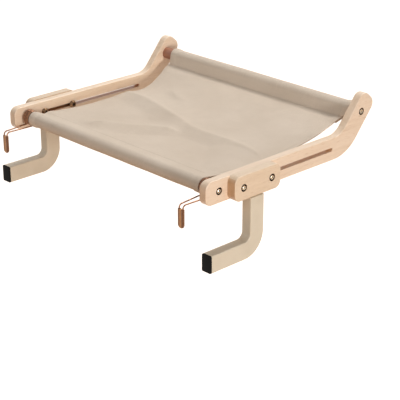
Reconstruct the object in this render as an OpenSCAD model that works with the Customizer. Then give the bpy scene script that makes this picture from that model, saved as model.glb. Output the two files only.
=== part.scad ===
// Window-sill cat hammock: two bent wooden side arms, two dowels and a canvas sling.
// A bent tube bracket slides along a slot in each arm and presses its capped foot on the wall
// below the sill, while a sprung wire hook on the front dowel catches the far edge of the board.
// Frame: X across (0 midway between the arms), Y from the hook end to the raised end, Z up.
// Origin: on the plane of the arms' undersides, straight below the front dowel.

/* [Side arms] */
// Clear width between the two arms
clear_w = 478; // [360:1:600]
// Thickness of an arm
arm_t = 15; // [13:0.5:20]
// Width of an arm's strip
arm_w = 40; // [36:0.5:50]
// From the front dowel's axis forward to the arm's front end
arm_front = 29; // [22:0.5:45]
// Corner radius of the front end
front_corner_r = 13; // [4:0.5:18]
// From the front dowel's axis back to where the arm starts to bend up
straight_len = 273; // [240:1:340]
// Radius of the bend, at the middle of the strip
arm_bend_r = 55; // [40:1:120]
// Angle that the raised end is bent up
arm_bend_deg = 50; // [30:1:70]
// From the end of the bend to the rear dowel's axis
limb_len = 40; // [20:0.5:60]
// From the rear dowel's axis to the arm's tip
limb_tip = 32; // [20:0.5:45]
// Corner radius of the tip
tip_corner_r = 15; // [4:0.5:18]
// Rounding of the wooden edges
edge_r = 1.5; // [0.75:0.25:3.5]

/* [Dowels] */
// Diameter of both dowels
dowel_d = 22; // [18:0.5:26]
// Outside diameter of the threaded insert in a dowel's end
insert_d = 10; // [9:0.5:12]
// Length of the threaded insert
insert_len = 18; // [14:0.5:25]

/* [Canvas] */
// Thickness of the canvas
canvas_t = 1.4; // [0.8:0.1:2]
// Room between a dowel and the sleeve sewn round it
sleeve_gap = 0.3; // [0.2:0.05:0.6]
// From a dowel's axis to the stitch line that closes the sleeve round it
seam_reach = 21; // [18:0.5:26]
// How far the front stitch line lies above the level of its dowel's axis
front_seam_deg = 22; // [0:1:35]
// How far the rear stitch line lies below the level of its dowel's axis
rear_seam_deg = 46; // [20:1:60]
// How far the sling hangs below a straight line between the stitch lines
canvas_sag = 20; // [10:0.5:28]
// How far each side edge draws in at half its length
edge_draw = 8; // [4:0.5:25]

/* [Clamp] */
// From the front dowel's axis to the first clamp bolt, with the clamp fully forward
first_bolt_y = 38; // [36:0.5:60]
// Distance between the two clamp bolts
bolt_spacing = 64; // [56:0.5:90]
// Travel of the clamp along the slot
slot_travel = 163; // [60:1:170]
// Thickness of a clamp block
block_t = 17; // [15:0.5:24]
// Height of a clamp block
block_h = 42; // [40:0.5:54]
// Wood left outside each clamp bolt, to the end of the block
block_end = 20; // [16:0.5:30]
// Corner radius of a clamp block
block_corner_r = 12; // [4:0.5:15]
// Running gap between an arm and what slides on it
slide_gap = 0.2; // [0.1:0.05:0.5]

/* [Bracket] */
// Tube size along the arm
tube_w = 30; // [24:0.5:36]
// Tube size across the arm
tube_t = 20; // [15:0.5:24]
// Wall of the tube
tube_wall = 1.5; // [1:0.1:1.8]
// Outside corner radius of the tube
tube_corner_r = 2; // [2:0.1:5]
// Inside radius of the tube's bend
tube_bend_r = 12; // [4:0.5:25]
// How far the leg stands forward of the block's middle
leg_forward = 4; // [0:0.5:10]
// From the arms' underside down to the bottom of the foot
bracket_drop = 104; // [80:1:160]
// From the front dowel's axis forward to the open end of the foot
foot_front = 35; // [20:0.5:60]
// Thickness of the flat mounting plate welded to the tube
plate_t = 4; // [3:0.5:6]
// Height of the mounting plate
plate_h = 26; // [18:0.5:30]
// Wood left round the plate's pocket, at each end of the block
pocket_end = 6; // [5:0.5:9]
// Thickness of the lid welded on the tube's top
lid_t = 3; // [2:0.5:5]
// Room round the mounting plate in its pocket
pocket_gap = 0.3; // [0.1:0.05:0.6]
// Thickness of the pad's head, which covers the end of the foot
pad_t = 3; // [1.5:0.1:6]
// Depth of the pad's plug inside the tube
plug_len = 15; // [8:0.5:25]
// Room round the pad's plug
plug_gap = 0.1; // [0.05:0.05:0.3]

/* [Hook] */
// Diameter of the spring wire
wire_d = 2.4; // [2:0.1:2.6]
// Gap between neighbouring turns
turn_gap = 1.2; // [0.42:0.01:2]
// Room between the turns and the dowel
coil_gap = 0.35; // [0.2:0.05:0.8]
// Room beside the coil, to the arm and to the canvas
coil_side = 0.45; // [0.3:0.05:5]
// From the dowel's axis forward to the hook's hanging leg
hook_reach = 58; // [46:0.5:90]
// From the hook's level legs down to the bottom of its loop
hook_drop = 37; // [28:0.5:60]
// Width of the hook's loop, between the middles of its two wires
loop_w = 8.6; // [7:0.2:12]
// Bend radius of the wire
hook_bend_r = 6; // [4:0.5:9]
// Length of the straight tail at each end of the wire
tail_len = 9; // [5:0.5:11]
// Wall of the sleeve over the hook's loop
grip_wall = 0.9; // [0.6:0.1:1.5]
// Room between the wire and its sleeve
grip_gap = 0.25; // [0.2:0.05:0.4]

/* [Fasteners] */
// Diameter of all the bolts
bolt_d = 6; // [5:0.5:6]
// Room round a bolt in its hole, on the radius
bolt_gap = 0.3; // [0.2:0.05:0.5]
// Room round a bolt in its thread, on the radius
thread_gap = 0.05; // [0.02:0.01:0.1]
// Diameter of a bolt's head
head_d = 10; // [9:0.5:12]
// Height of a bolt's head
head_h = 6.5; // [4:0.5:6.5]
// Width across the flats of the head's socket
socket_af = 5; // [4:0.5:6]
// Depth of the head's socket
socket_depth = 3; // [2:0.5:3.5]
// Diameter of the counterbore that holds a head
cbore_d = 13; // [12:0.5:15]
// Depth of the counterbore
cbore_depth = 7; // [6.5:0.5:8]
// Thread held in an insert
insert_grip = 15; // [10:0.5:16]
// Diameter of a clamp nut's flange
nut_d = 14; // [12:0.5:18]
// Diameter of a clamp nut at its small end
nut_small_d = 9.5; // [8.5:0.5:11]
// Thickness of the nut's flange
nut_flange = 1.5; // [1:0.1:2.5]
// Height of a clamp nut
nut_h = 5; // [4:0.5:7]
// Depth of a bolt's end below the nut's face
nut_recess = 1.5; // [0.5:0.1:2]

/* [Hidden] */
$fn = 96;
eps = 0.01;
past = 5;
lap = 0.5;
fine_fn = 720;

// Colours
birch = [0.92, 0.81, 0.68];
dark_wood = [0.67, 0.45, 0.35];
greige = [0.80, 0.74, 0.66];
cream = [0.84, 0.78, 0.69];
black_rubber = [0.08, 0.08, 0.07];
bronze = [0.42, 0.30, 0.20];
copper = [0.70, 0.44, 0.28];
brass = [0.76, 0.60, 0.33];

// Arm: centre line, faces and the two dowel axes
axis_z = arm_w / 2;
inner_x = clear_w / 2;
outer_x = inner_x + arm_t;
bend_end_y = straight_len + arm_bend_r * sin(arm_bend_deg);
bend_end_z = axis_z + arm_bend_r * (1 - cos(arm_bend_deg));
rear_y = bend_end_y + limb_len * cos(arm_bend_deg);
rear_z = bend_end_z + limb_len * sin(arm_bend_deg);
dowel_axes = [[0, axis_z], [rear_y, rear_z]];

// Clamp: bolts, slot, block and mounting plate
clamp_x = outer_x + slide_gap;
bolt_ys = [first_bolt_y, first_bolt_y + bolt_spacing];
slot_end_y = first_bolt_y + bolt_spacing + slot_travel;
slot_w = bolt_d + 2 * bolt_gap;
block_y = first_bolt_y - block_end;
block_len = bolt_spacing + 2 * block_end;
block_z = axis_z - block_h / 2;
plate_corner_r = 4;
plate_y = block_y + pocket_end;
plate_len = block_len - 2 * pocket_end;
plate_z = axis_z - plate_h / 2;
clamp_shank = block_t - cbore_depth + slide_gap + arm_t + slide_gap + nut_h - nut_recess;
dowel_shank = arm_t - cbore_depth + insert_grip;

// Bracket: the leg stands under the block
leg_y = first_bolt_y + bolt_spacing / 2 - leg_forward - tube_w / 2;
leg_top_z = block_z - lid_t;
foot_top_z = tube_w - bracket_drop;
tube_turn_y = leg_y - tube_bend_r;
tube_turn_z = foot_top_z + tube_bend_r;

// Hook: a double torsion spring, each half wound inwards from its own leg
half_turns = 1.75;
rings_per_turn = 8;
wire_sides = 6;
bend_steps = 4;
turn_step = 360 / rings_per_turn;
turn_pitch = wire_d + turn_gap;
coil_r = (dowel_d / 2 + coil_gap + wire_d / 2) / cos(turn_step / 2);
coil_half = (half_turns + 0.5) * turn_pitch;
bare_end = 2 * (coil_half + coil_side) + wire_d;
hook_x = inner_x - bare_end / 2;
loop_r = loop_w / 2;
hang_top_z = -coil_r - hook_bend_r;
loop_z = -coil_r - hook_drop + loop_r;
grip_r = wire_d / 2 + grip_gap + grip_wall;
grip_top_gap = 1;

// Canvas: sleeves on the dowels and the arc that hangs between their stitch lines
sleeve_in_r = dowel_d / 2 + sleeve_gap;
sleeve_out_r = sleeve_in_r + canvas_t;
sleeve_mid_r = sleeve_in_r + canvas_t / 2;
canvas_w = clear_w - 2 * bare_end;
seam_turns = [front_seam_deg, 180 + rear_seam_deg];
seams = [for (i = [0, 1]) dowel_axes[i] + seam_reach * [cos(seam_turns[i]), sin(seam_turns[i])]];
chord = seams[1] - seams[0];
sag_r = norm(chord) * norm(chord) / (8 * canvas_sag) + canvas_sag / 2;
chord_up = [-chord[1], chord[0]] / norm(chord);
sag_centre = (seams[0] + seams[1]) / 2 + chord_up * (sag_r - canvas_sag);
draw_r = rear_y * rear_y / (8 * edge_draw) + edge_draw / 2;

// Shared shapes

// A flat outline in (Y, Z), given thickness across X from x outwards
module across(x, thickness) {
  translate([x, 0, 0]) rotate([90, 0, 90]) linear_extrude(thickness) children();
}

// A cylinder along X, starting at x
module rod(x, y, z, r, length) {
  translate([x, y, z]) rotate([0, 90, 0]) cylinder(r = r, h = length);
}

// A part drawn for the right side, put on the right (1) or the left (-1)
module on_side(side) {
  mirror([side < 0 ? 1 : 0, 0, 0]) children();
}

module rounded_rect(w, h, r) {
  translate([r, 0]) square([w - 2 * r, h]);
  translate([0, r]) square([w, h - 2 * r]);
  for (x = [r, w - r], y = [r, h - r]) translate([x, y]) circle(r);
}

// Board section between two edges: x across its width, y through its thickness from its near face.
// r holds the rounding of its edges at the near and the far face
module board_section(w, t, r) {
  most = max(r);
  translate([most, 0]) square([w - 2 * most, t]);
  translate([0, r[0]]) square([w, t - r[0] - r[1]]);
  for (x = [0, 1]) {
    if (r[0] > 0) translate([x * w + (1 - 2 * x) * r[0], r[0]]) circle(r[0]);
    translate([x * w + (1 - 2 * x) * r[1], t - r[1]]) circle(r[1]);
  }
}

// The same, from x = 0 to one edge
module edge_section(reach, t, r) {
  square([reach - max(r), t]);
  translate([0, r[0]]) square([reach, t - r[0] - r[1]]);
  if (r[0] > 0) translate([reach - r[0], r[0]]) circle(r[0]);
  translate([reach - r[1], t - r[1]]) circle(r[1]);
}

// Length of board along y, centred on x = 0, with its near face on z = 0
module board(length, w, t, r) {
  translate([-w / 2, length, 0]) rotate([90, 0, 0]) linear_extrude(length) board_section(w, t, r);
}

// End of such a board, with both corners rounded
module board_end(w, t, corner_r, r) {
  translate([corner_r - w / 2, 0, 0]) rotate([90, 0, 90])
    linear_extrude(w - 2 * corner_r) edge_section(corner_r, t, r);
  for (m = [0, 1]) mirror([m, 0, 0]) translate([w / 2 - corner_r, 0, 0])
    rotate_extrude(angle = 90) edge_section(corner_r, t, r);
}

// Stands a board up: its length along Y, its width along Z and its near face at x
module upright(x) {
  translate([x, 0, 0]) rotate([0, 90, 0]) children();
}

module slot(y, z, length, w) {
  translate([y, z - w / 2]) square([length, w]);
  for (end = [y, y + length]) translate([end, z]) circle(w / 2);
}

// Socket-head bolt along X: its head ends at x_head, and its shank runs inwards
module socket_bolt(x_head, y, z, shank) {
  difference() {
    union() {
      rod(x_head - head_h, y, z, head_d / 2, head_h);
      rod(x_head - head_h - shank, y, z, bolt_d / 2, shank + eps);
    }
    translate([x_head - socket_depth, y, z]) rotate([0, 90, 0])
      cylinder(d = socket_af / cos(30), h = socket_depth + past, $fn = 6);
  }
}

// Clearance hole through a wooden piece, with a counterbore for the head in its outer face
module head_hole(x_face, y, z, thickness) {
  rod(x_face - thickness - past, y, z, bolt_d / 2 + bolt_gap, thickness + 2 * past);
  rod(x_face - cbore_depth, y, z, cbore_d / 2, cbore_depth + past);
}

// Side arms

// Straight, bend and raised end, which starts inside the bend and is a hair slimmer
module arm_board() {
  hair = 2 * eps;
  front_len = arm_front - front_corner_r;
  tip_len = limb_len + limb_tip - tip_corner_r;
  r = [edge_r, edge_r];
  translate([-axis_z, -front_len, 0]) {
    board(front_len + straight_len, arm_w, arm_t, r);
    rotate(180) board_end(arm_w, arm_t, front_corner_r, r);
  }
  translate([-axis_z - arm_bend_r, straight_len, 0]) {
    rotate_extrude(angle = arm_bend_deg)
      translate([arm_bend_r - arm_w / 2, 0]) board_section(arm_w, arm_t, r);
    rotate(arm_bend_deg) translate([arm_bend_r, -lap, hair]) {
      board(tip_len + lap, arm_w - 2 * hair, arm_t - 2 * hair, r);
      translate([0, tip_len + lap, 0])
        board_end(arm_w - 2 * hair, arm_t - 2 * hair, tip_corner_r, r);
    }
  }
}

module side_arm(side) {
  color(birch) on_side(side) difference() {
    upright(inner_x) arm_board();
    across(inner_x - past, arm_t + 2 * past)
      slot(first_bolt_y, axis_z, slot_end_y - first_bolt_y, slot_w);
    for (a = dowel_axes) head_hole(outer_x, a[0], a[1], arm_t);
  }
}

// Dowels with their inserts and bolts

module dowel(a, tint) {
  color(tint) difference() {
    rod(-inner_x, a[0], a[1], dowel_d / 2, clear_w);
    for (s = [-1, 1]) on_side(s) rod(inner_x - insert_len, a[0], a[1], insert_d / 2, insert_len + past);
  }
}

module dowel_inserts(a) {
  color(brass) for (s = [-1, 1]) on_side(s) difference() {
    rod(inner_x - insert_len, a[0], a[1], insert_d / 2 - thread_gap, insert_len);
    rod(inner_x - insert_len - past, a[0], a[1], bolt_d / 2 + thread_gap, insert_len + 2 * past);
  }
}

module dowel_bolts(side) {
  color(bronze) on_side(side) for (a = dowel_axes)
    socket_bolt(outer_x - cbore_depth + head_h, a[0], a[1], dowel_shank);
}

// Canvas sling: one cloth, sewn into a drop-shaped sleeve round each dowel

// Sleeve about its dowel's axis, with its stitch line out along x
module sleeve_outline() {
  leave_deg = acos(sleeve_mid_r / seam_reach);
  free_len = sqrt(seam_reach * seam_reach - sleeve_mid_r * sleeve_mid_r);
  free_t = canvas_t - 4 * eps;
  wide = 2 * sleeve_out_r;
  leave = wide * [cos(leave_deg), sin(leave_deg)];
  difference() {
    circle(sleeve_out_r);
    circle(sleeve_in_r);
    polygon([[0, 0], leave, [2 * wide, 0], [leave[0], -leave[1]]]);
  }
  for (s = [-1, 1]) rotate(s * leave_deg)
    translate([sleeve_mid_r, s * lap]) rotate(-90 * s)
      translate([0, -free_t / 2]) square([free_len + lap, free_t]);
  translate([seam_reach, 0]) circle(canvas_t);
}

module sling_outline() {
  for (i = [0, 1]) translate(dowel_axes[i]) rotate(seam_turns[i]) sleeve_outline();
  intersection() {
    translate(sag_centre) difference() {
      circle(sag_r + canvas_t / 2, $fn = fine_fn);
      circle(sag_r - canvas_t / 2, $fn = fine_fn);
    }
    translate([seams[0][0], seams[0][1] - sag_r]) square([chord[0], sag_r + chord[1] + canvas_t]);
  }
}

module canvas_sling() {
  height = 4 * (rear_z + canvas_sag);
  color(greige) difference() {
    across(-canvas_w / 2, canvas_w) sling_outline();
    for (s = [-1, 1])
      translate([s * (canvas_w / 2 - edge_draw + draw_r), rear_y / 2, -height / 2])
        cylinder(r = draw_r, h = height, $fn = fine_fn);
  }
}

// Clamp: block, bracket with its pad, bolts and nuts

// Flat plate with a neck that reaches down to the tube's lid
module plate_outline(grow) {
  neck_w = tube_w - 2 * tube_corner_r;
  translate([plate_y - grow, plate_z - grow])
    rounded_rect(plate_len + 2 * grow, plate_h + 2 * grow, plate_corner_r);
  translate([leg_y + tube_corner_r - grow, block_z - (grow > 0 ? past : eps)])
    square([neck_w + 2 * grow, plate_z + plate_corner_r - block_z + past]);
}

// Only the outer face has rounded edges: the other lies against the arm
module block_board() {
  r = [0, edge_r];
  translate([-axis_z, block_y + block_corner_r, 0]) {
    board(block_len - 2 * block_corner_r, block_h, block_t, r);
    rotate(180) board_end(block_h, block_t, block_corner_r, r);
    translate([0, block_len - 2 * block_corner_r, 0]) board_end(block_h, block_t, block_corner_r, r);
  }
}

module clamp_block(side) {
  color(birch) on_side(side) difference() {
    upright(clamp_x) block_board();
    across(clamp_x - past, plate_t + past) plate_outline(pocket_gap);
    for (y = bolt_ys) head_hole(clamp_x + block_t, y, axis_z, block_t);
  }
}

// Tube section: x along the arm, y across it
module tube_section() {
  difference() {
    rounded_rect(tube_w, tube_t, tube_corner_r);
    translate([tube_wall, tube_wall])
      rounded_rect(tube_w - 2 * tube_wall, tube_t - 2 * tube_wall, tube_corner_r - tube_wall);
  }
}

module bracket(side) {
  color(cream) on_side(side) {
    difference() {
      across(clamp_x, plate_t) plate_outline(0);
      for (y = bolt_ys) rod(clamp_x - past, y, axis_z, bolt_d / 2 + bolt_gap, plate_t + 2 * past);
    }
    translate([clamp_x + tube_t, leg_y, leg_top_z]) rotate(90)
      linear_extrude(lid_t) rounded_rect(tube_w, tube_t, tube_corner_r);
    translate([clamp_x + tube_t, leg_y, tube_turn_z]) rotate(90)
      linear_extrude(leg_top_z - tube_turn_z) tube_section();
    translate([clamp_x, tube_turn_y, tube_turn_z]) rotate([0, 90, 0])
      rotate_extrude(angle = 90) translate([tube_bend_r, 0]) tube_section();
    translate([clamp_x, tube_turn_y, foot_top_z]) rotate([0, 90, -90])
      linear_extrude(tube_turn_y + foot_front) tube_section();
  }
}

// Pad with a head that covers the tube's end and a plug inside it
module bracket_cap(side) {
  inset = tube_wall + plug_gap;
  color(black_rubber) on_side(side) {
    translate([clamp_x, -foot_front, foot_top_z]) rotate([0, 90, -90])
      linear_extrude(pad_t) rounded_rect(tube_w, tube_t, tube_corner_r);
    translate([clamp_x + inset, plug_len - foot_front, foot_top_z - inset]) rotate([0, 90, -90])
      linear_extrude(plug_len + pad_t / 2)
        rounded_rect(tube_w - 2 * inset, tube_t - 2 * inset, tube_corner_r - tube_wall);
  }
}

module clamp_bolts(side) {
  color(bronze) on_side(side) for (y = bolt_ys)
    socket_bolt(clamp_x + block_t - cbore_depth + head_h, y, axis_z, clamp_shank);
}

module clamp_nuts(side) {
  bore_r = bolt_d / 2 + thread_gap;
  color(bronze) on_side(side) for (y = bolt_ys)
    translate([inner_x - slide_gap, y, axis_z]) rotate([0, -90, 0]) rotate_extrude()
      polygon([
        [bore_r, 0], [nut_d / 2, 0], [nut_d / 2, nut_flange], [nut_small_d / 2, nut_h], [bore_r, nut_h]
      ]);
}

// Sprung wire hook on the front dowel

// Half of the wire, from the end of its tail to the middle of the loop, about the dowel's axis
function half_wire() = concat(
  [[turn_pitch / 2, -coil_r, -tail_len], [turn_pitch / 2, -coil_r, -tail_len + wire_d]],
  [for (i = [half_turns * rings_per_turn : -1 : 0])
    let (a = i * turn_step - 90)
    [coil_half - i * turn_pitch / rings_per_turn, coil_r * cos(a), coil_r * sin(a)]],
  [for (i = [0 : bend_steps])
    let (a = 90 + 90 * i / bend_steps)
    [loop_r, hook_bend_r - hook_reach + hook_bend_r * cos(a), hang_top_z + hook_bend_r * sin(a)]],
  [for (i = [0 : bend_steps])
    let (a = -90 * i / bend_steps)
    [loop_r * cos(a), -hook_reach, loop_z + loop_r * sin(a)]]
);

function whole_wire(half) = concat(
  half,
  [for (i = [len(half) - 2 : -1 : 0]) [-half[i][0], half[i][1], half[i][2]]]
);

function unit(v) = v / norm(v);

function directions(path) = [for (i = [0 : len(path) - 1])
  unit(
    (i > 0 ? unit(path[i] - path[i - 1]) : [0, 0, 0])
    + (i < len(path) - 1 ? unit(path[i + 1] - path[i]) : [0, 0, 0])
  )];

// A side vector carried along the wire without twisting
function squared(v, along) = unit(v - (v * along) * along);
function side_vectors(dirs, i, v) = i == len(dirs) ? [] :
  let (here = squared(v, dirs[i])) concat([here], side_vectors(dirs, i + 1, here));

// Centre-line distance along the wire at each point
function lengths(path, i, so_far) = i == len(path) ? [] :
  let (here = so_far + (i > 0 ? norm(path[i] - path[i - 1]) : 0))
  concat([here], lengths(path, i + 1, here));

// Least gap of the wire to itself, between points well apart along it
function least_gap(path) =
  let (along = lengths(path, 0, 0), n = len(path))
  min([for (i = [0 : n - 2]) for (j = [i + 1 : n - 1])
    if (along[j] - along[i] > 4 * wire_d) norm(path[j] - path[i]) - wire_d]);

module wire_tube(path) {
  dirs = directions(path);
  sides = side_vectors(dirs, 0, [1, 0, 0]);
  last = len(path) - 1;
  rings = [for (i = [0 : last], k = [0 : wire_sides - 1])
    let (a = 360 * k / wire_sides, up = cross(dirs[i], sides[i]))
    path[i] + wire_d / 2 * (cos(a) * sides[i] + sin(a) * up)];
  skin = [for (i = [0 : last - 1], k = [0 : wire_sides - 1])
    let (a = i * wire_sides + k, b = i * wire_sides + (k + 1) % wire_sides)
    each [[a, a + wire_sides, b], [b, a + wire_sides, b + wire_sides]]];
  first_end = [for (k = [1 : wire_sides - 2]) [0, k, k + 1]];
  n = last * wire_sides;
  last_end = [for (k = [1 : wire_sides - 2]) [n, n + k + 1, n + k]];
  polyhedron(points = rings, faces = concat(skin, first_end, last_end));
}

module hook_spring(side) {
  path = whole_wire(half_wire());
  echo(least_gap_of_the_hook_wire_mm = least_gap(path));
  color(copper) translate([side * hook_x, 0, axis_z]) wire_tube(path);
}

// Solid of the hook's loop: two legs and the half ring that joins them
module loop_solid(r, top) {
  for (s = [-1, 1]) translate([s * loop_r, -hook_reach, loop_z]) cylinder(r = r, h = top - loop_z);
  translate([0, -hook_reach, loop_z]) rotate([90, 180, 0])
    rotate_extrude(angle = 180) translate([loop_r, 0]) circle(r);
}

module hook_sleeve(side) {
  top = hang_top_z - grip_top_gap;
  web_t = 2 * (grip_r - grip_wall / 2);
  color(copper) translate([side * hook_x, 0, axis_z]) difference() {
    union() {
      loop_solid(grip_r, top);
      translate([-loop_r, -hook_reach - web_t / 2, loop_z]) cube([loop_w, web_t, top - loop_z]);
      translate([0, -hook_reach + web_t / 2, loop_z]) rotate([90, 0, 0])
        cylinder(r = loop_r, h = web_t);
    }
    loop_solid(wire_d / 2 + grip_gap, top + past);
  }
}

side_arm(-1);  // left_side_arm
side_arm(1);  // right_side_arm
dowel(dowel_axes[0], dark_wood);  // front_dowel
dowel(dowel_axes[1], dark_wood);  // rear_dowel
dowel_inserts(dowel_axes[0]);  // front_dowel_inserts
dowel_inserts(dowel_axes[1]);  // rear_dowel_inserts
dowel_bolts(-1);  // left_dowel_bolts
dowel_bolts(1);  // right_dowel_bolts
canvas_sling();
clamp_block(-1);  // left_clamp_block
clamp_block(1);  // right_clamp_block
bracket(-1);  // left_bracket
bracket(1);  // right_bracket
bracket_cap(-1);  // left_bracket_cap
bracket_cap(1);  // right_bracket_cap
clamp_bolts(-1);  // left_clamp_bolts
clamp_bolts(1);  // right_clamp_bolts
clamp_nuts(-1);  // left_clamp_nuts
clamp_nuts(1);  // right_clamp_nuts
hook_spring(-1);  // left_hook_spring
hook_spring(1);  // right_hook_spring
hook_sleeve(-1);  // left_hook_sleeve
hook_sleeve(1);  // right_hook_sleeve
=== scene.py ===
import math

import bmesh
import bpy
from mathutils import Matrix, Vector, noise


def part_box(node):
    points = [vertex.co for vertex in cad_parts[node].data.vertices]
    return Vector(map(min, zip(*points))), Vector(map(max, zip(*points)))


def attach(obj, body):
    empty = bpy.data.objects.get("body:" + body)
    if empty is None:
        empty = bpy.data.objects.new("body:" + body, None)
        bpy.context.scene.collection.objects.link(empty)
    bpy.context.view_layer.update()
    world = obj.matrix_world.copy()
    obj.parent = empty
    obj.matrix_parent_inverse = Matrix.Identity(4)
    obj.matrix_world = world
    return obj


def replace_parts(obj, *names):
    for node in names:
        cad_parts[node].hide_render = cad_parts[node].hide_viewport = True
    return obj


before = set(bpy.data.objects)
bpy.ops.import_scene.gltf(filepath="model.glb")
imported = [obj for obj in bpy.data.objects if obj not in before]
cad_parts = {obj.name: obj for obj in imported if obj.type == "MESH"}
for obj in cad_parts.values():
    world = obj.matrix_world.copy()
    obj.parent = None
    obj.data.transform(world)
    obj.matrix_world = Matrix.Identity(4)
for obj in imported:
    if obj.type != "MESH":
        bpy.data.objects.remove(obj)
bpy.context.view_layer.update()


# Side arms: two strips cut from pale birch board, bent up at the rear, with rounded edges
# and a satin lacquer. The grain runs straight along the board, and the sawn ends show the
# darker end grain. The bolt recesses and the slot are darkened with painted shade.
def middle_of(node):
    low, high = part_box(node)
    return [round(v, 5) for v in (low + high) / 2]


def tone(red, green, blue):
    parts = [c / 255 for c in (red, green, blue)]
    return tuple(c / 12.92 if c < 0.04045 else ((c + 0.055) / 1.055) ** 2.4 for c in parts) + (1.0,)


def new_finish(name, roughness, metallic=0.0):
    finish = bpy.data.materials.new(name)
    finish.use_nodes = True
    shader = finish.node_tree.nodes["Principled BSDF"]
    shader.inputs["Roughness"].default_value = roughness
    shader.inputs["Metallic"].default_value = metallic
    return finish, finish.node_tree.nodes, finish.node_tree.links, shader


def stretched_noise(nodes, links, source, stretch, detail, shift=(0, 0, 0)):
    place = nodes.new("ShaderNodeMapping")
    place.inputs["Scale"].default_value = stretch
    place.inputs["Location"].default_value = shift
    links.new(source, place.inputs["Vector"])
    texture = nodes.new("ShaderNodeTexNoise")
    texture.inputs["Scale"].default_value = 1.0
    texture.inputs["Detail"].default_value = detail
    links.new(place.outputs["Vector"], texture.inputs["Vector"])
    return texture.outputs[0]


def even_noise(nodes, links, source, scale, detail):
    return stretched_noise(nodes, links, source, (scale, scale, scale), detail)


def toned_by(nodes, links, amount, stops):
    ramp = nodes.new("ShaderNodeValToRGB")
    while len(ramp.color_ramp.elements) < len(stops):
        ramp.color_ramp.elements.new(0.5)
    for stop, (position, colour) in zip(ramp.color_ramp.elements, stops):
        stop.position = position
        stop.color = colour
    links.new(amount, ramp.inputs["Fac"])
    return ramp.outputs["Color"]


def mixed(nodes, links, first, second, amount, how="MIX"):
    mix = nodes.new("ShaderNodeMix")
    mix.data_type = "RGBA"
    mix.blend_type = how
    if isinstance(amount, float):
        mix.inputs[0].default_value = amount
    else:
        links.new(amount, mix.inputs[0])
    links.new(first, mix.inputs[6])
    links.new(second, mix.inputs[7])
    return mix.outputs[2]


def tinted(nodes, links, colour, amount, stops, share=1.0):
    return mixed(nodes, links, colour, toned_by(nodes, links, amount, stops), share, "MULTIPLY")


def raised_by(nodes, links, height, shader, distance, strength):
    bump = nodes.new("ShaderNodeBump")
    bump.inputs["Strength"].default_value = strength
    bump.inputs["Distance"].default_value = distance
    links.new(height, bump.inputs["Height"])
    links.new(bump.outputs["Normal"], shader.inputs["Normal"])


def worked_out(nodes, links, how, first, second=0.0):
    step = nodes.new("ShaderNodeMath")
    step.operation = how
    links.new(first, step.inputs[0])
    if isinstance(second, float):
        step.inputs[1].default_value = second
    else:
        links.new(second, step.inputs[1])
    return step.outputs[0]


def split_axes(nodes, links, source):
    split = nodes.new("ShaderNodeSeparateXYZ")
    links.new(source, split.inputs["Vector"])
    return split.outputs


def within(nodes, links, value, span, soft):
    middle, reach = span
    far = worked_out(nodes, links, "ABSOLUTE", worked_out(nodes, links, "SUBTRACT", value, middle))
    share = nodes.new("ShaderNodeMapRange")
    share.inputs["From Min"].default_value = reach + soft
    share.inputs["From Max"].default_value = reach - soft
    links.new(far, share.inputs["Value"])
    return share.outputs["Result"]


untinted = (1, 1, 1, 1)


# A painted shade spot is (span of x from the part's middle, span of y, span of z, tint), each span a middle
# and a reach
def wood_finish(name, tones, roughness, shift, along, shaded_spots):
    finish, nodes, links, shader = new_finish(name, roughness)
    shader.inputs["Coat Weight"].default_value = 0.35
    shader.inputs["Coat Roughness"].default_value = 0.28
    place = nodes.new("ShaderNodeTexCoord")

    def grain(across, lengthwise, detail):
        stretch = [across] * 3
        stretch[along] = lengthwise
        return stretched_noise(nodes, links, place.outputs["Object"], stretch, detail, shift)

    bands, fibres, pores = grain(120, 7, 5.0), grain(1500, 40, 2.0), grain(850, 75, 0.0)
    pale, middle, deep = tones
    colour = toned_by(nodes, links, bands, [(0.3, deep), (0.5, middle), (0.72, pale)])
    colour = tinted(nodes, links, colour, fibres, [(0.3, (0.94, 0.925, 0.91, 1)), (0.65, untinted)], 0.8)
    colour = tinted(nodes, links, colour, pores, [(0.68, untinted), (0.78, (0.9, 0.84, 0.78, 1))])
    end_on = worked_out(nodes, links, "ABSOLUTE", split_axes(nodes, links, place.outputs["Normal"])[along])
    colour = tinted(nodes, links, colour, end_on, [(0.75, untinted), (1.0, (0.9, 0.84, 0.77, 1))])
    spot = split_axes(nodes, links, place.outputs["Object"])
    from_middle = worked_out(nodes, links, "ABSOLUTE", spot["X"])
    for spot_x, spot_y, spot_z, shade in shaded_spots:
        in_shaded_spot = within(nodes, links, from_middle, spot_x, 0.0006)
        for axis, span in (("Y", spot_y), ("Z", spot_z)):
            near = within(nodes, links, spot[axis], span, 0.0001)
            in_shaded_spot = worked_out(nodes, links, "MULTIPLY", in_shaded_spot, near)
        colour = tinted(nodes, links, colour, in_shaded_spot, [(0.0, untinted), (1.0, shade)])
    links.new(colour, shader.inputs["Base Color"])
    raised_by(nodes, links, fibres, shader, 0.00012, 0.5)
    return finish


def dress(node, finish):
    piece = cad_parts[node]
    piece.data.materials.clear()
    piece.data.materials.append(finish)


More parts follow.
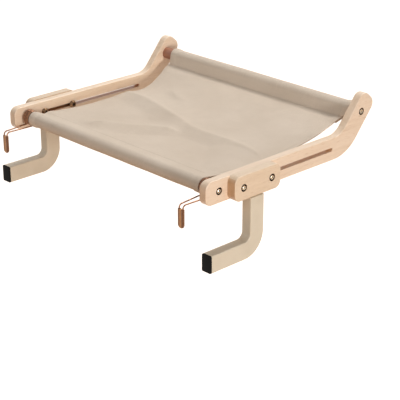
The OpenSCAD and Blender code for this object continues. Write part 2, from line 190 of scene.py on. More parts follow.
along_part, across_part = 1, 0
front_axis, rear_axis = middle_of("front_dowel")[1:], middle_of("rear_dowel")[1:]
hole_reach, slot_run = 0.0072, (0.1515, 0.118)
recess_x, slot_x = (0.2463, 0.0068), (0.2465, 0.0044)
# Painted shade: the recess tint darkens the bolt recesses and the slot tint the slot, more deeply on the left
recess_painted_shade, lacquered = (0.3, 0.2, 0.12, 1), 0.46
# The left arm's tones are paler than the right arm's, as painted light on its shaded inner face
left_birch_painted_light = tone(250, 225, 198), tone(246, 219, 190), tone(239, 210, 179)
right_birch = tone(243, 218, 192), tone(239, 212, 184), tone(232, 203, 173)
for side, birch, slot_painted_shade, shift in (
    ("left", left_birch_painted_light, (0.62, 0.34, 0.14, 1), (3.1, 0.4, 1.7)),
    ("right", right_birch, (0.98, 0.86, 0.72, 1), (9.4, 2.2, 5.3)),
):
    shaded_spots = [(recess_x, (y, hole_reach), (z, hole_reach), recess_painted_shade) for y, z in (front_axis, rear_axis)]
    shaded_spots.append((slot_x, slot_run, (front_axis[1], hole_reach), slot_painted_shade))
    arm_birch = wood_finish(f"birch_{side}_arm", birch, lacquered, shift, along_part, shaded_spots)
    dress(f"{side}_side_arm", arm_birch)


# Dowels: two turned rods, stained reddish brown, that hold the arms apart. The grain runs
# across the part, along each rod. Under the wire coils the front one is painted dark as painted shade.
stain = tone(176, 120, 92), tone(160, 104, 78), tone(138, 86, 62)
# Painted shade: the front dowel is darkened under the coils, between the wire's turns
under_coils, dowel_reach, coil_painted_shade_tint = (0.2295, 0.0085), 0.012, (0.3, 0.22, 0.17, 1)
coil_painted_shade = [(under_coils, (front_axis[0], dowel_reach), (front_axis[1], dowel_reach), coil_painted_shade_tint)]
for end, shift in (("front", (1.3, 7.7, 0.2)), ("rear", (6.1, 2.9, 4.4))):
    stained = wood_finish(f"stained_{end}_dowel", stain, 0.5, shift, across_part, coil_painted_shade)
    dress(f"{end}_dowel", stained)


# Threaded inserts: brass sleeves screwed into the dowels' ends, which take the arm bolts.
# They are turned from rod, so the brass is bright with a fine grain.
def fine_grained(nodes, links, place, shader):
    fine = even_noise(nodes, links, place.outputs["Object"], 2500, 2.0)
    raised_by(nodes, links, fine, shader, 0.00004, 0.35)


def metal_finish(name, bright, dull, roughness, grain, metallic=1.0):
    finish, nodes, links, shader = new_finish(name, roughness, metallic)
    place = nodes.new("ShaderNodeTexCoord")
    cloud = even_noise(nodes, links, place.outputs["Object"], grain, 4.0)
    colour = toned_by(nodes, links, cloud, [(0.35, dull), (0.65, bright)])
    links.new(colour, shader.inputs["Base Color"])
    fine_grained(nodes, links, place, shader)
    return finish


insert_brass = metal_finish("insert_brass", tone(205, 170, 105), tone(176, 140, 80), 0.35, 400)
for end in ("front", "rear"):
    dress(f"{end}_dowel_inserts", insert_brass)


# Socket-head bolts: pale plated steel, with a chamfered head, a hexagon socket and a plain
# shank. The head's outer band, the socket's drill point, the shank and the head's underside are
# painted dark, as painted shade of the counterbore and the socket. Four hold the dowels between
# the arms, and four hold the clamps.
head_r, head_h, shank_r, bolt_segments = 0.005, 0.0065, 0.003, 48
tip_r, head_underside = shank_r * 0.8, 0.001
head_chamfer, under_chamfer, tip_chamfer = 0.0007, 0.0002, 0.0006
socket_flats, socket_depth, socket_chamfer = 0.005, 0.003, 0.0003
drill_r, drill_depth = 0.001, 0.0008
# Painted shade: the head's outer band, the drill point, the shank and the underside are dark
pale_to, painted_shade_from, always_painted_shade = 0.66, 0.72, 0.8
bronze, nodes, links, shader = new_finish("bronze", 0.3, 1.0)
from_axis = nodes.new("ShaderNodeUVMap")
from_axis.uv_map = "from_axis"
radius_share = split_axes(nodes, links, from_axis.outputs["UV"])["X"]
pale_plating, painted_recess_shade = tone(244, 228, 204), tone(46, 32, 22)
colour = toned_by(nodes, links, radius_share, [(pale_to, pale_plating), (painted_shade_from, painted_recess_shade)])
place = nodes.new("ShaderNodeTexCoord")
cloud = even_noise(nodes, links, place.outputs["Object"], 300, 4.0)
colour = tinted(nodes, links, colour, cloud, [(0.35, (0.8, 0.76, 0.7, 1)), (0.65, untinted)])
links.new(colour, shader.inputs["Base Color"])
fine_grained(nodes, links, place, shader)


def ring_at(bm, radius, height):
    ring = bmesh.ops.create_circle(bm, segments=bolt_segments, radius=radius)["verts"]
    bmesh.ops.translate(bm, verts=ring, vec=(0, 0, height))
    return ring


def hexagon_at(bm, flats, height):
    ring = ring_at(bm, 1.0, height)
    for vert in ring:
        turn = (math.atan2(vert.co.y, vert.co.x) + math.pi / 6) % (math.pi / 3) - math.pi / 6
        vert.co.xy *= flats / 2 / math.cos(turn)
    return ring


def edges_of(ring):
    return list({e for v in ring for e in v.link_edges if all(w in ring for w in e.verts)})


def add_bolt(bm, seat_x, y, z, shank):
    rings = [
        ring_at(bm, tip_r, -shank),
        ring_at(bm, shank_r, -shank + tip_chamfer),
        ring_at(bm, shank_r, 0),
        ring_at(bm, head_r - under_chamfer, 0),
        ring_at(bm, head_r, under_chamfer),
        ring_at(bm, head_r, head_h - head_chamfer),
        ring_at(bm, head_r - head_chamfer, head_h),
        hexagon_at(bm, socket_flats + 2 * socket_chamfer, head_h),
        hexagon_at(bm, socket_flats, head_h - socket_chamfer),
        hexagon_at(bm, socket_flats, head_h - socket_depth),
        ring_at(bm, drill_r, head_h - socket_depth - drill_depth),
    ]
    for low, high in zip(rings, rings[1:]):
        bmesh.ops.bridge_loops(bm, edges=edges_of(low) + edges_of(high))
    for end_ring in (rings[0], rings[-1]):
        bmesh.ops.contextual_create(bm, geom=edges_of(end_ring))
    from_axis = bm.loops.layers.uv["from_axis"]
    for loop in {l for ring in rings for v in ring for l in v.link_loops}:
        in_painted_shade = loop.vert in rings[-1] or loop.vert.co.z < head_underside
        loop[from_axis].uv = (always_painted_shade if in_painted_shade else loop.vert.co.xy.length / head_r, 0)
    outward = Matrix.Rotation(math.copysign(math.pi / 2, seat_x), 4, "Y")
    in_place = Matrix.Translation((seat_x, y, z)) @ outward
    bmesh.ops.transform(bm, matrix=in_place, verts=[v for ring in rings for v in ring])


def make_piece(name, bm, finish, body, smooth_angle=math.radians(35)):
    bmesh.ops.recalc_face_normals(bm, faces=bm.faces)
    mesh = bpy.data.meshes.new(name)
    bm.to_mesh(mesh)
    bm.free()
    mesh.materials.append(finish)
    for face in mesh.polygons:
        face.use_smooth = True
    mesh.set_sharp_from_angle(angle=smooth_angle)
    piece = bpy.data.objects.new(name, mesh)
    bpy.context.scene.collection.objects.link(piece)
    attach(piece, body)
    return piece


def make_bolts(name, node, body, axes):
    low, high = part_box(node)
    inner_x, outer_x = sorted((abs(low.x), abs(high.x)))
    seat_x = round(outer_x - head_h, 5)
    bm = bmesh.new()
    bm.loops.layers.uv.new("from_axis")
    for y, z in axes:
        add_bolt(bm, math.copysign(seat_x, low.x), y, z, round(seat_x - inner_x, 5))
    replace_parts(make_piece(name, bm, bronze, body), node)


low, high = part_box("left_clamp_bolts")
clamp_axes = [(round(y, 5), front_axis[1]) for y in (low.y + head_r, high.y - head_r)]
for side in ("left", "right"):
    make_bolts(f"{side}_arm_bolts", f"{side}_dowel_bolts", "frame", (front_axis, rear_axis))
    make_bolts(f"{side}_block_bolts", f"{side}_clamp_bolts", f"{side}_clamp", clamp_axes)


# Canvas sling: one piece of heavy cotton canvas, hemmed along both sides. Each end goes
# round its dowel and is sewn down below the sling, which hangs in a shallow sag between
# the two seams and keeps the creases it was packed with.
cloth_t, layer = 0.0012, 0.0013
sleeve_r, side_hem, end_hem, sag_depth = 0.012, 0.010, 0.015, 0.020
half_w = round(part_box("canvas_sling")[1].x, 5)
front, rear = Vector(front_axis), Vector(rear_axis)
front_seam, rear_seam = Vector((0.01947, 0.02787)), Vector((0.32626, 0.05518))
chord = rear_seam - front_seam
sag_r = chord.length_squared / (8 * sag_depth) + sag_depth / 2
above = Vector((-chord.y, chord.x)).normalized()
sag_centre = (front_seam + rear_seam) / 2 + above * (sag_r - sag_depth)


# The cloth's run is worked out in the plane of y and z, seen from the side
def bearing(v):
    return math.atan2(v.y, v.x)


def round_point(centre, radius, angle):
    return centre + radius * Vector((math.cos(angle), math.sin(angle)))


def arc(centre, radius, start, stop, step):
    count = max(2, math.ceil(abs(stop - start) * radius / step))
    return [round_point(centre, radius, start + (stop - start) * k / count) for k in range(count + 1)]


def straight(first, last, step):
    count = max(2, math.ceil((last - first).length / step))
    return [first.lerp(last, k / count) for k in range(count + 1)]


def touch(axis, point, way):
    arm = point - axis
    return bearing(arm) + way * math.acos(sleeve_r / arm.length)


sling_from, sling_to = bearing(front_seam - sag_centre), bearing(rear_seam - sag_centre)
hem_turn = end_hem / sag_r
upper, lower = sag_r - layer / 2, sag_r + layer / 2
low_start, up_start = (round_point(sag_centre, r, sling_from) for r in (lower, upper))
low_end, up_end = (round_point(sag_centre, r, sling_to) for r in (lower, upper))
front_in, front_out = touch(front, low_start, -1), touch(front, up_start, 1) - 2 * math.pi
rear_in, rear_out = touch(rear, up_end, -1), touch(rear, low_end, 1) - 2 * math.pi
sag_step, flat_step, sleeve_step = 0.003, 0.002, 0.0018
runs = [
    ("hem", arc(sag_centre, lower, sling_from + hem_turn, sling_from, sag_step)),
    ("sleeve", straight(low_start, round_point(front, sleeve_r, front_in), flat_step)),
    ("sleeve", arc(front, sleeve_r, front_in, front_out, sleeve_step)),
    ("sleeve", straight(round_point(front, sleeve_r, front_out), up_start, flat_step)),
    ("sling", arc(sag_centre, upper, sling_from, sling_to, sag_step)),
    ("sleeve", straight(up_end, round_point(rear, sleeve_r, rear_in), flat_step)),
    ("sleeve", arc(rear, sleeve_r, rear_in, rear_out, sleeve_step)),
    ("sleeve", straight(round_point(rear, sleeve_r, rear_out), low_end, flat_step)),
    ("hem", arc(sag_centre, lower, sling_to, sling_to - hem_turn, sag_step)),
]

# Rows: [kind, point, length of cloth up to it], and the way up from the cloth at each
rows = []
for kind, points in runs:
    for point in points[1:] if rows else points:
        along = rows[-1][2] + (point - rows[-1][1]).length if rows else 0.0
        rows.append([kind, point, along])
ups = []
for before, after in zip(rows[:1] + rows, rows[1:] + rows[-1:]):
    way = (after[1] - before[1]).normalized()
    ups.append(Vector((-way.y, way.x)))

# Turned side hem: (flat distance past the edge, distance in from it, layers below the top one)
hem_fold = [
    (side_hem, side_hem, 1.0), (0.007, 0.007, 1.0), (0.0035, 0.0035, 1.0), (0.0014, 0.0012, 0.95),
    (0.0006, 0.0003, 0.7), (0.0, 0.0, 0.4), (-0.0006, 0.0003, 0.12), (-0.0014, 0.0012, 0.0),
]

# Columns: (flat distance from the middle, edge that it is by, distance in from it, layers below)
edge_margin, column_count = 0.003, 148
inner = half_w - edge_margin
columns = [(-half_w - out, -1, back, deep) for out, back, deep in hem_fold]
columns += [(-inner + 2 * inner * k / column_count, 0, 0, 0) for k in range(column_count + 1)]
columns += [(half_w + out, 1, back, deep) for out, back, deep in reversed(hem_fold)]

# Creases: (points, height, spread in front of the line, spread behind it)
creases = [
    # long ridge from the left edge to the right, where the cloth was folded in half
    ([(-0.234, 0.216), (-0.190, 0.209), (-0.131, 0.199), (-0.083, 0.189), (-0.027, 0.173),
      (0.019, 0.160), (0.053, 0.158), (0.119, 0.159), (0.151, 0.157), (0.185, 0.152),
      (0.255, 0.138)], 0.0086, 0.027, 0.060),
    # second ridge, from the front left corner to the middle
    ([(-0.170, -0.025), (-0.133, 0.007), (-0.109, 0.038), (-0.084, 0.063), (-0.054, 0.085),
      (-0.030, 0.110), (-0.006, 0.125), (0.030, 0.136)], 0.0112, 0.023, 0.032),
    # short folds by the left edge
    ([(-0.150, 0.262), (-0.097, 0.240), (-0.060, 0.236)], 0.0024, 0.010, 0.020),
    ([(-0.205, 0.130), (-0.165, 0.150)], 0.0024, 0.010, 0.012),
]
crease_fade, crest_w = 0.04, 0.006
crest_share, behind_share, front_share, dip_share, dip_spread = 0.2, 0.8, 1.2, 0.4, 2.2
coarse_ripple, fine_ripple, sleeve_ripple = 0.0016, 0.0005, 0.0005

# Slack by the right edge: it rises past a line that runs from the long ridge to the front seam
slack_from, slack_way, slack_height = Vector((0.089, 0.143)), Vector((0.76, 0.65)), 0.0076
slack_rise, slack_ridge_y, slack_fade = 0.03, 0.156, 0.06


def clamped(t):
    return min(1.0, max(0.0, t))


def eased(t):
    return clamped(t) ** 2 * (3 - 2 * clamped(t))


def bell(distance, width):
    return math.exp(-((distance / width) ** 2))


# How far a place is from a crease's line, whether it lies behind it, how far along it, and its length
def beside(here, points):
    nearest, passed = None, 0.0
    for start, stop in zip(points, points[1:]):
        start = Vector(start)
        run = Vector(stop) - start
        t = clamped((here - start).dot(run) / run.length_squared)
        gap = here - (start + t * run)
        if nearest is None or gap.length < nearest[0]:
            nearest = gap.length, run.x * gap.y - run.y * gap.x > 0, passed + t * run.length
        passed += run.length
    return *nearest, passed


# A crease falls away gently behind its crest. In front it is steeper and dips below the sag
def crease_height(x, y):
    here = Vector((x, y))
    past = max(0.0, (here - slack_from).dot(slack_way))
    slack = slack_height * (1 - math.exp(-past / slack_rise))
    slack *= math.exp(-max(0.0, y - slack_ridge_y) / slack_fade)
    folds = 0.0
    for points, height, front_w, behind_w in creases:
        gap, is_behind, along, length = beside(here, points)
        if is_behind:
            ridge = behind_share * math.exp(-((gap / behind_w) ** 1.3))
        else:
            ridge = front_share * bell(gap, front_w) - dip_share * bell(gap, dip_spread * front_w)
        ridge += crest_share * bell(gap, crest_w)
        folds += height * eased(min(along, length - along) / crease_fade) * ridge
    ripples = coarse_ripple * noise.noise((x * 13, y * 13, 3.7))
    ripples += fine_ripple * noise.noise((x * 45, y * 45, 8.1))
    return max(slack, folds) + ripples


# The rear sleeve has slid a little to the right on its dowel, so both side edges slant. Both draw
# in: the left one towards the rear, where it also hangs lower, the right one most by the rear seam
left_slant, left_draw, left_hang, corner_hang = 0.005, 0.011, 0.011, 0.005
right_slant, right_draw, seam_draw = 0.0165, 0.0125, 0.009
seam_draw_y, seam_draw_reach, seam_draw_past = 0.320, 0.05, 0.008
left_rear_y, left_rear_reach, left_hang_reach = 0.248, 0.052, 0.06
corner_reach_x, corner_reach_y = 0.016, 0.011


def rear_left(y):
    return bell(y - left_rear_y, left_rear_reach)


def edges_at(y, past_seam=0.0):
    back = clamped(y / rear.x)
    away = 4 * back * (1 - back)
    drawn_in = bell(y - seam_draw_y, seam_draw_reach) * bell(past_seam, seam_draw_past)
    left = -half_w + left_slant * back + left_draw * rear_left(y)
    return left, half_w + right_slant * back - right_draw * away - seam_draw * drawn_in


# The top layer rises a little over the turned hems. Away from the seams, the sling stands above or
# below its sag by the folds, which flatten out by the right edge
hem_step_from, hem_step, end_hem_step = side_hem + 0.005, 0.004, 0.012
seam_hold, seam_ease = 0.004, 0.03
right_flat_share, right_flat_reach = 0.85, 0.022


def hem_share(from_edge):
    return eased((hem_step_from - from_edge) / hem_step)


def sling_height(x, y, left, right, seam_gap):
    shape = crease_height(x, y) * (1 - right_flat_share * bell(right - x, right_flat_reach))
    shape -= left_hang * rear_left(y) * bell(x - left, left_hang_reach)
    return shape * eased((seam_gap - seam_hold) / seam_ease)


bm = bmesh.new()
weave_map = bm.loops.layers.uv.new("weave")
bmesh.ops.create_grid(bm, x_segments=len(columns) - 1, y_segments=len(rows) - 1, size=0.5)
flat_at, spots = {}, {}
for vert in bm.verts:
    i = round((vert.co.x + 0.5) * (len(columns) - 1))
    j = round((vert.co.y + 0.5) * (len(rows) - 1))
    flat_x, by_edge, back, deep = columns[i]
    kind, point, along = rows[j]
    left, right = edges_at(point.x, (point - rear_seam).length if kind == "sleeve" else 0.0)
    if by_edge:
        x = left + back if by_edge < 0 else right - back
    else:
        x = left + edge_margin + (right - left - 2 * edge_margin) * (flat_x / inner + 1) / 2
    seam_gap = min((point - front_seam).length, (point - rear_seam).length)
    doubled = clamped((end_hem + end_hem_step - seam_gap) / end_hem_step) if kind == "sling" else 1.0
    lift = layer * (hem_share(min(x - left, right - x)) * doubled - deep)
    if kind == "sling":
        lift += sling_height(x, point.x, left, right, seam_gap)
    elif kind == "sleeve":
        lift += sleeve_ripple * max(0.0, noise.noise((x * 22, along * 30, 1.3)))
    lifted = point + ups[j] * lift
    at_corner = bell(x - left, corner_reach_x) * bell((point - front_seam).length, corner_reach_y)
    vert.co = (x, lifted.x, lifted.y - corner_hang * at_corner)
    flat_at[vert], spots[i, j] = (flat_x, along), vert.co.copy()
for face in bm.faces:
    for loop in face.loops:
        loop[weave_map].uv = flat_at[loop.vert]

canvas, nodes, links, shader = new_finish("canvas", 0.92)
shader.inputs["Specular IOR Level"].default_value = 0.25
weave = nodes.new("ShaderNodeUVMap")
weave.uv_map = "weave"
thread_pitch = 0.0009
threads = []
for direction in ("X", "Y"):
    wave = nodes.new("ShaderNodeTexWave")
    wave.bands_direction = direction
    wave.inputs["Scale"].default_value = 2 * math.pi / (20 * thread_pitch)
    links.new(weave.outputs["UV"], wave.inputs["Vector"])
    threads.append(wave.outputs["Fac"])
checks = nodes.new("ShaderNodeTexChecker")
checks.inputs["Scale"].default_value = 1 / thread_pitch
links.new(weave.outputs["UV"], checks.inputs["Vector"])
over = mixed(nodes, links, threads[0], threads[1], checks.outputs["Fac"])
warp_slubs = stretched_noise(nodes, links, weave.outputs["UV"], (900, 22, 1), 1.0)
weft_slubs = stretched_noise(nodes, links, weave.outputs["UV"], (22, 900, 1), 1.0, (4.2, 1.1, 0))
cloud = stretched_noise(nodes, links, weave.outputs["UV"], (9, 9, 1), 3.0)
colour = toned_by(nodes, links, cloud, [(0.3, tone(226, 209, 190)), (0.7, tone(234, 218, 200))])
streaks = [(0.25, (0.95, 0.945, 0.94, 1)), (0.7, (1.02, 1.015, 1.01, 1))]
for slubs in (warp_slubs, weft_slubs):
    colour = tinted(nodes, links, colour, slubs, streaks, 0.7)
# Painted shade: the weave's low places between the threads are darkened
colour = tinted(nodes, links, colour, over, [(0.0, (0.8, 0.78, 0.75, 1)), (0.45, untinted)], 0.8)
links.new(colour, shader.inputs["Base Color"])
raised_by(nodes, links, over, shader, 0.0002, 0.6)

sling = make_piece("canvas_cloth", bm, canvas, "frame", math.radians(40))
thicken = sling.modifiers.new("cloth thickness", "SOLIDIFY")
thicken.thickness = cloth_t
thicken.offset = 0.0
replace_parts(sling, "canvas_sling")


# Sewing thread: a row of lockstitches across the cloth beside each sleeve seam, seen on top
# of the sling and again below the hem, and one along each side hem.
thread, nodes, links, shader = new_finish("sewing_thread", 0.7)
place = nodes.new("ShaderNodeTexCoord")
twist = even_noise(nodes, links, place.outputs["Object"], 2600, 1.0)
colour = toned_by(nodes, links, twist, [(0.3, tone(208, 193, 174)), (0.7, tone(230, 216, 199))])
links.new(colour, shader.inputs["Base Color"])
raised_by(nodes, links, twist, shader, 0.0001, 0.5)
stitch_len, stitch_r, stitch_pitch = 0.0025, 0.0003, 0.003
stitch_rise = stitch_r * 0.4
seam_inset, row_end, hem_row = 0.003, side_hem + 0.006, 0.007
bm = bmesh.new()
lengthwise = Matrix.Rotation(math.pi / 2, 4, "Y")
bmesh.ops.create_uvsphere(bm, u_segments=6, v_segments=5, radius=1.0, matrix=lengthwise)
one_stitch = bpy.data.meshes.new("one_stitch")
bm.to_mesh(one_stitch)
bm.clear()


def sew(spot, way, up):
    side = up.cross(way).normalized()
    turn = Matrix((way * stitch_len / 2, side * stitch_r, up * stitch_r)).transposed().to_4x4()
    turn.translation = spot
    stitch = one_stitch.copy()
    stitch.transform(turn)
    bm.from_mesh(stitch)
    bpy.data.meshes.remove(stitch)


for angle in (sling_from + seam_inset / sag_r, sling_to - seam_inset / sag_r):
    outward = Vector((0, math.cos(angle), math.sin(angle)))
    for face in (-1, 1):
        spot = round_point(sag_centre, sag_r + face * (layer / 2 + cloth_t / 2 + stitch_rise), angle)
        left, right = edges_at(spot.x)
        for k in range(int((right - left - 2 * row_end) / stitch_pitch) + 1):
            sew(Vector((left + row_end + k * stitch_pitch, *spot)), Vector((1, 0, 0)), face * outward)


def from_hem_row(column):
    return abs(columns[column][0] + half_w - hem_row) + abs(columns[column][1])


on_top, below = min(range(len(columns)), key=from_hem_row), 1
last_column = len(columns) - 1
hem_rows = (below, -1), (on_top, 1), (last_column - on_top, 1), (last_column - below, -1)
sling_rows = [j for j, row in enumerate(rows) if row[0] == "sling"][3:-3]
for column, face in hem_rows:
    for j, after in zip(sling_rows, sling_rows[1:]):
        start, stop = spots[column, j], spots[column, after]
        way = (stop - start).normalized()
        up = Vector((0, *ups[j])) * face
        up = (up - way * up.dot(way)).normalized()
        sew((start + stop) / 2 + up * (cloth_t / 2 + stitch_rise), way, up)
bpy.data.meshes.remove(one_stitch)
stitches = make_piece("sling_stitches", bm, thread, "frame", math.radians(60))


# Clamp blocks: birch blocks with rounded outer edges, one on the outside of each arm. Each
# has a shallow pocket at the back for the bracket's plate and counterbored bolt holes. Painted
# shade darkens the front end and the bolt recesses.
block_birch = tone(233, 207, 178), tone(228, 201, 170), tone(220, 191, 159)
# Painted shade: one tint darkens the block's front face and the recess tint its bolt holes
bolt_run, front_run, block_reach, front_painted_shade = (0.070, 0.040), (0.018, 0.003), 0.03, (0.84, 0.75, 0.66, 1)
block_holes = ((0.2625, 0.0078), bolt_run, (front_axis[1], hole_reach), recess_painted_shade)
front_end = ((0.2620, 0.0078), front_run, (front_axis[1], block_reach), front_painted_shade)
for side, shift in (("left", (5.8, 1.1, 7.9)), ("right", (2.6, 8.3, 3.5))):
    shaded_spots = [block_holes, front_end]
    sawn = wood_finish(f"birch_{side}_block", block_birch, lacquered, shift, along_part, shaded_spots)
    dress(f"{side}_clamp_block", sawn)


# Brackets: bent rectangular steel tube with a welded lid and plate, powder coated cream.
# The coat has a faint orange-peel surface.
coat, nodes, links, shader = new_finish("cream_coat", 0.42)
place = nodes.new("ShaderNodeTexCoord")
peel = even_noise(nodes, links, place.outputs["Object"], 1100, 2.0)
dust = even_noise(nodes, links, place.outputs["Object"], 35, 3.0)
colour = toned_by(nodes, links, dust, [(0.3, tone(215, 200, 176)), (0.7, tone(221, 207, 184))])
links.new(colour, shader.inputs["Base Color"])
raised_by(nodes, links, peel, shader, 0.0001, 0.4)
for side in ("left", "right"):
    dress(f"{side}_bracket", coat)


# Foot pads: moulded black rubber, with a head that covers the end of the tube and a plug
# pushed into it. The head's edges are softly rounded.
rubber, nodes, links, shader = new_finish("black_rubber", 0.7)
shader.inputs["Specular IOR Level"].default_value = 0.12
place = nodes.new("ShaderNodeTexCoord")
moulded = even_noise(nodes, links, place.outputs["Object"], 1600, 2.0)
colour = toned_by(nodes, links, moulded, [(0.3, tone(9, 9, 8)), (0.7, tone(16, 15, 14))])
links.new(colour, shader.inputs["Base Color"])
raised_by(nodes, links, moulded, shader, 0.0001, 0.5)
pad_head, tube_wall, into_head = 0.003, 0.0016, 0.0005
head_corner, plug_corner, head_rim = 0.002, 0.0005, 0.0006


def add_pad_block(bm, size, middle, corner):
    cube = bmesh.ops.create_cube(bm, size=1.0)["verts"]
    bmesh.ops.scale(bm, vec=size, verts=cube)
    bmesh.ops.translate(bm, vec=middle, verts=cube)
    edges = {e for v in cube for e in v.link_edges}
    lengthwise = [e for e in edges if abs(e.verts[0].co.y - e.verts[1].co.y) > 0.001]
    bmesh.ops.bevel(
        bm, geom=lengthwise, offset=corner, affect="EDGES", segments=8, profile=0.5, material=-1
    )


for side in ("left", "right"):
    low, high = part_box(f"{side}_bracket_cap")
    middle_x, _, middle_z = middle_of(f"{side}_bracket_cap")
    width, length, height = high - low
    bm = bmesh.new()
    add_pad_block(
        bm, (width, pad_head, height), (middle_x, low.y + pad_head / 2, middle_z), head_corner
    )
    front_y = low.y + 0.0001
    front_edges = [e for e in bm.edges if len(e.link_faces) == 2 and all(v.co.y < front_y for v in e.verts)]
    bmesh.ops.bevel(
        bm, geom=front_edges, offset=head_rim, affect="EDGES", segments=4, profile=0.5, material=-1
    )
    plug = length - pad_head + into_head
    add_pad_block(
        bm, (width - 2 * tube_wall, plug, height - 2 * tube_wall),
        (middle_x, high.y - plug / 2, middle_z), plug_corner,
    )
    pad = make_piece(f"{side}_foot_pad", bm, rubber, f"{side}_clamp")
    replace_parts(pad, f"{side}_bracket_cap")


# Clamp nuts: turned conical nuts in dark bronze, on the inside of each arm. The
# profile is (radius, height above the arm).
nut_profile = [
    (0.00305, 0.0003), (0.0034, 0.0), (0.0067, 0.0), (0.0070, 0.0003), (0.0070, 0.0012),
    (0.0067, 0.0016), (0.0050, 0.0047), (0.0046, 0.0050), (0.0036, 0.0050), (0.00305, 0.0045),
]
dark_bronze = metal_finish("dark_bronze", tone(126, 98, 72), tone(88, 66, 48), 0.34, 300)
for side, sign in (("left", -1), ("right", 1)):
    low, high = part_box(f"{side}_clamp_nuts")
    seat_x = sign * round(max(abs(low.x), abs(high.x)), 5)
    bm = bmesh.new()
    for y, z in clamp_axes:
        others = set(bm.verts)
        ring = [bm.verts.new((r, 0, h)) for r, h in nut_profile]
        edges = [bm.edges.new(pair) for pair in zip(ring, ring[1:] + ring[:1])]
        bmesh.ops.spin(
            bm, geom=ring + edges, axis=(0, 0, 1), cent=(0, 0, 0), angle=2 * math.pi, steps=48, use_merge=True
        )
        in_place = Matrix.Translation((seat_x, y, z)) @ Matrix.Rotation(-sign * math.pi / 2, 4, "Y")
        bmesh.ops.transform(bm, matrix=in_place, verts=[v for v in bm.verts if v not in others])
    nuts = make_piece(f"{side}_cone_nuts", bm, dark_bronze, f"{side}_clamp")
    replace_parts(nuts, f"{side}_clamp_nuts")


# Wire hooks: copper-coloured spring wire, wound round the front dowel in two halves, with
# two level legs that run forward and a hanging loop. The ends stand straight down in front
# of the dowel.
wire_r, turn_pitch, coil_r, coil_half, loop_r = 0.0012, 0.0036, 0.0129, 0.0081, 0.0043
hook_reach, hook_drop, hook_bend, half_turns, leg_z = 0.058, 0.037, 0.006, 1.75, -0.013584
tail_len, coil_steps, leg_steps, bend_steps, loop_steps = 0.009, 42, 9, 8, 12
hook_x = abs(middle_of("left_hook_spring")[0])
copper = metal_finish("copper", tone(170, 122, 88), tone(124, 84, 58), 0.28, 220, 0.5)


# The wire's line about the dowel's axis: one half from its tail to the loop's lowest point, then
# the same mirrored back
def hook_path():
    half = [Vector((turn_pitch / 2, -coil_r, -tail_len * share)) for share in (1, 0.5)]
    for k in range(coil_steps + 1):
        turned = half_turns * (1 - k / coil_steps)
        a = 2 * math.pi * turned - math.pi / 2
        half.append(Vector((coil_half - turned * turn_pitch, coil_r * math.cos(a), coil_r * math.sin(a))))
    bend_y, bend_z = hook_bend - hook_reach, leg_z - hook_bend
    coil_end, leg_end = half[-1], Vector((loop_r, bend_y, leg_z))
    half += [coil_end.lerp(leg_end, k / leg_steps) for k in range(1, leg_steps)]
    for k in range(bend_steps + 1):
        a = math.pi / 2 * (1 + k / bend_steps)
        half.append(Vector((loop_r, bend_y + hook_bend * math.cos(a), bend_z + hook_bend * math.sin(a))))
    loop_z = leg_z - hook_drop + loop_r
    for k in range(loop_steps + 1):
        a = -math.pi / 2 * k / loop_steps
        half.append(Vector((loop_r * math.cos(a), -hook_reach, loop_z + loop_r * math.sin(a))))
    return half + [Vector((-p.x, p.y, p.z)) for p in reversed(half[:-1])]


for side, sign in (("left", -1), ("right", 1)):
    wire = bpy.data.curves.new(f"{side}_hook_line", "CURVE")
    wire.dimensions = "3D"
    wire.bevel_depth = wire_r
    wire.bevel_resolution = 4
    wire.use_fill_caps = True
    path = hook_path()
    spline = wire.splines.new("POLY")
    spline.points.add(len(path) - 1)
    for point, spot in zip(spline.points, path):
        point.co = (spot.x + sign * hook_x, spot.y + front.x, spot.z + front.y, 1)
    drawn = bpy.data.objects.new(f"{side}_hook_line", wire)
    bpy.context.scene.collection.objects.link(drawn)
    bpy.context.view_layer.update()
    bm = bmesh.new()
    bm.from_mesh(drawn.to_mesh())
    drawn.to_mesh_clear()
    bpy.data.objects.remove(drawn)
    bpy.data.curves.remove(wire)
    hook = make_piece(f"{side}_wire_hook", bm, copper, f"{side}_hook")
    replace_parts(hook, f"{side}_hook_spring")


# Hook sleeves: a soft copper-coloured sleeve over each hanging loop, filled between the
# two wires so that it doesn't mark the board. Its rounded sides are painted darker as painted shade.
sheath, nodes, links, shader = new_finish("copper_sleeve", 0.3)
shader.inputs["Specular IOR Level"].default_value = 0.35
place = nodes.new("ShaderNodeTexCoord")
swirl = stretched_noise(nodes, links, place.outputs["Object"], (300, 300, 90), 2.0)
colour = toned_by(nodes, links, swirl, [(0.3, tone(202, 142, 88)), (0.7, tone(224, 168, 112))])
from_middle = worked_out(nodes, links, "ABSOLUTE", split_axes(nodes, links, place.outputs["Object"])["X"])
# Painted shade: the sleeve's rounded sides are darkened; the middle keeps the copper colour
middle_without_painted_shade = within(nodes, links, from_middle, (hook_x, 0.0026), 0.0016)
colour = tinted(nodes, links, colour, middle_without_painted_shade, [(0.0, (0.26, 0.19, 0.15, 1)), (1.0, untinted)])
links.new(colour, shader.inputs["Base Color"])
fine = even_noise(nodes, links, place.outputs["Object"], 1500, 2.0)
raised_by(nodes, links, fine, shader, 0.00005, 0.4)
for side in ("left", "right"):
    dress(f"{side}_hook_sleeve", sheath)


# Floor: a plain pale floor, as far below the part as a window sill is above a room's floor.
# It shows white to the camera and in reflections, and throws a warm light up at the part.
def seen_directly(nodes, links):
    ray = nodes.new("ShaderNodeLightPath").outputs
    seen = worked_out(nodes, links, "ADD", ray["Is Camera Ray"], ray["Is Glossy Ray"])
    return worked_out(nodes, links, "ADD", seen, ray["Is Transmission Ray"])


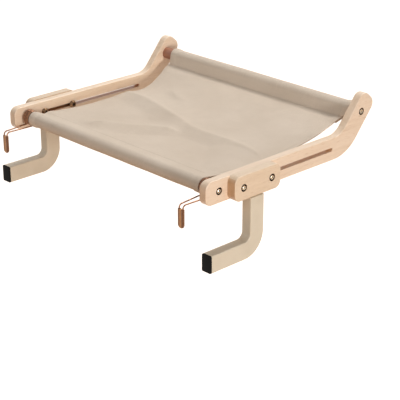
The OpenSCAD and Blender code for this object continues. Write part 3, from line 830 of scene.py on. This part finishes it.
floor_z, floor_half, floor_white = -0.75, 20, 0.92
floor_paint, nodes, links, shader = new_finish("floor_paint", 0.9)
shader.inputs["Base Color"].default_value = (0.5, 0.36, 0.26, 1)
shader.inputs["Specular IOR Level"].default_value = 0.0
shader.inputs["Emission Color"].default_value = (1, 1, 1, 1)
white = worked_out(nodes, links, "MULTIPLY", seen_directly(nodes, links), floor_white)
links.new(white, shader.inputs["Emission Strength"])
bm = bmesh.new()
bmesh.ops.create_grid(bm, x_segments=1, y_segments=1, size=floor_half)
bmesh.ops.translate(bm, verts=bm.verts, vec=(0, 0, floor_z))
mesh = bpy.data.meshes.new("floor")
bm.to_mesh(mesh)
bm.free()
mesh.materials.append(floor_paint)
floor = bpy.data.objects.new("floor", mesh)
bpy.context.scene.collection.objects.link(floor)


# Light: a bright even studio, with a large soft light above and behind the part and three weaker
# ones: one level with it on the right, one high in front and a warm one low in front.
scene = bpy.context.scene
studio = bpy.data.worlds.new("studio")
studio.use_nodes = True
scene.world = studio
nodes, links = studio.node_tree.nodes, studio.node_tree.links
even = nodes["Background"]
even.inputs["Color"].default_value = (1, 1, 1, 1)
level = nodes.new("ShaderNodeMapRange")
level.inputs["To Min"].default_value = 0.40
level.inputs["To Max"].default_value = 1.0
links.new(seen_directly(nodes, links), level.inputs["Value"])
links.new(level.outputs["Result"], even.inputs["Strength"])


def soft_light(name, place, aim, size, power, colour=(1, 1, 1)):
    lamp = bpy.data.lights.new(name, "AREA")
    lamp.shape = "DISK"
    lamp.size = size
    lamp.energy = power
    lamp.color = colour
    light = bpy.data.objects.new(name, lamp)
    light.location = place
    light.rotation_euler = (Vector(aim) - Vector(place)).to_track_quat("-Z", "Y").to_euler()
    scene.collection.objects.link(light)


soft_light("key light", (-0.35, 1.85, 3.00), (0.0, 0.15, 0.0), 0.9, 66)
soft_light("side light", (2.4, -0.30, 0.13), (0.0, 0.1, 0.0), 0.4, 24.5)
soft_light("front light", (0.9, -1.5, 1.7), (0.0, 0.0, 0.0), 1.2, 4)
soft_light("low light", (0.25, -0.75, -0.62), (0.1, 0.0, -0.08), 0.6, 1.2, (1.0, 0.62, 0.34))


# Camera: at the photograph's place and with its field of view, well in front of the right arm
# and above the sling.
lens = bpy.data.cameras.new("camera")
lens.sensor_width = 36
lens.lens = 115.8
lens.clip_end = 60
camera = bpy.data.objects.new("camera", lens)
camera.location = (1.569, -1.301, 0.784)
camera.rotation_euler = Vector((-0.6656, 0.6376, -0.3880)).to_track_quat("-Z", "Y").to_euler()
scene.collection.objects.link(camera)
scene.camera = camera
scene.view_settings.view_transform = "Standard"
